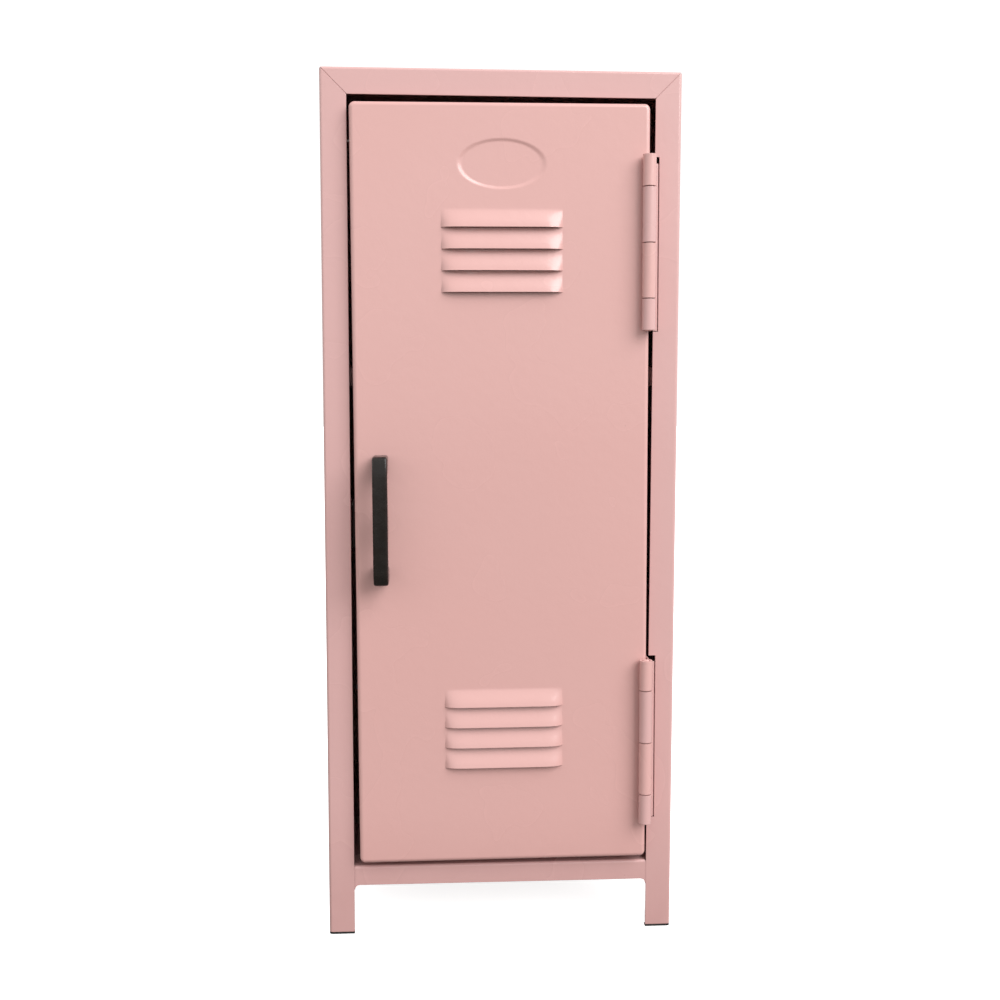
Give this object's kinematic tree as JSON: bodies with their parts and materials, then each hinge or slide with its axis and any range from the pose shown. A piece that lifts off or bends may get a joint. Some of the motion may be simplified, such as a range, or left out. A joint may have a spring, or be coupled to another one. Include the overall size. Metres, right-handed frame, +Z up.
{
  "type": "locker cabinet",
  "caption": "Small upright sheet-steel locker cabinet on four legs, with one hinged louvred door, a strap pull, a shelf and a magnetic catch.",
  "frame": {"origin": "centre of the base: the bottom centre of the box round the cabinet, its handle and its rear rivet heads, at floor level", "axes": "+Z up, -Y out of the front where the door is, +X towards the hinge side"},
  "size_m": [0.1408, 0.1586, 0.346],
  "materials": {
    "body_paint": "glossy powder coat, pale pink",
    "door_paint": "glossy powder coat, pale pink",
    "black_enamel": "satin black enamel",
    "zinc_steel": "bright zinc plate",
    "black_rubber": "matt",
    "brown_plastic": "satin",
    "ferrite": "dull, dark grey"
  },
  "bodies": {
    "cabinet": {"back_panel": "body_paint", "back_rivet_left_1": "zinc_steel", "back_rivet_left_2": "zinc_steel", "back_rivet_left_3": "zinc_steel", "back_rivet_right_1": "zinc_steel", "back_rivet_right_2": "zinc_steel", "back_rivet_right_3": "zinc_steel", "bottom_panel": "body_paint", "catch_bracket": "body_paint", "catch_housing": "brown_plastic", "catch_magnet": "ferrite", "catch_pole_inner": "zinc_steel", "catch_pole_outer": "zinc_steel", "catch_screw_lower": "zinc_steel", "catch_screw_upper": "zinc_steel", "foot_pad_front_left": "black_rubber", "foot_pad_front_right": "black_rubber", "foot_pad_rear_left": "black_rubber", "foot_pad_rear_right": "black_rubber", "hinge_frame_leaf_lower": "body_paint", "hinge_frame_leaf_upper": "body_paint", "hinge_pin_lower": "door_paint", "hinge_pin_upper": "door_paint", "shelf": "body_paint", "side_panel_left": "body_paint", "side_panel_right": "body_paint", "top_panel": "body_paint"},
    "door": {"door": "door_paint", "handle": "black_enamel", "handle_screw_lower": "zinc_steel", "handle_screw_upper": "zinc_steel", "handle_washer_lower": "zinc_steel", "handle_washer_upper": "zinc_steel", "hinge_door_leaf_lower": "door_paint", "hinge_door_leaf_upper": "door_paint", "strike_plate": "zinc_steel"}
  },
  "joints": [
    {"name": "door_hinge", "type": "hinge", "parent": "cabinet", "child": "door", "pos_m": [0.05735, -0.06915, 0.1801], "axis": [-0.0052, 0, 1], "range_deg": [0, 210]}
  ]
}
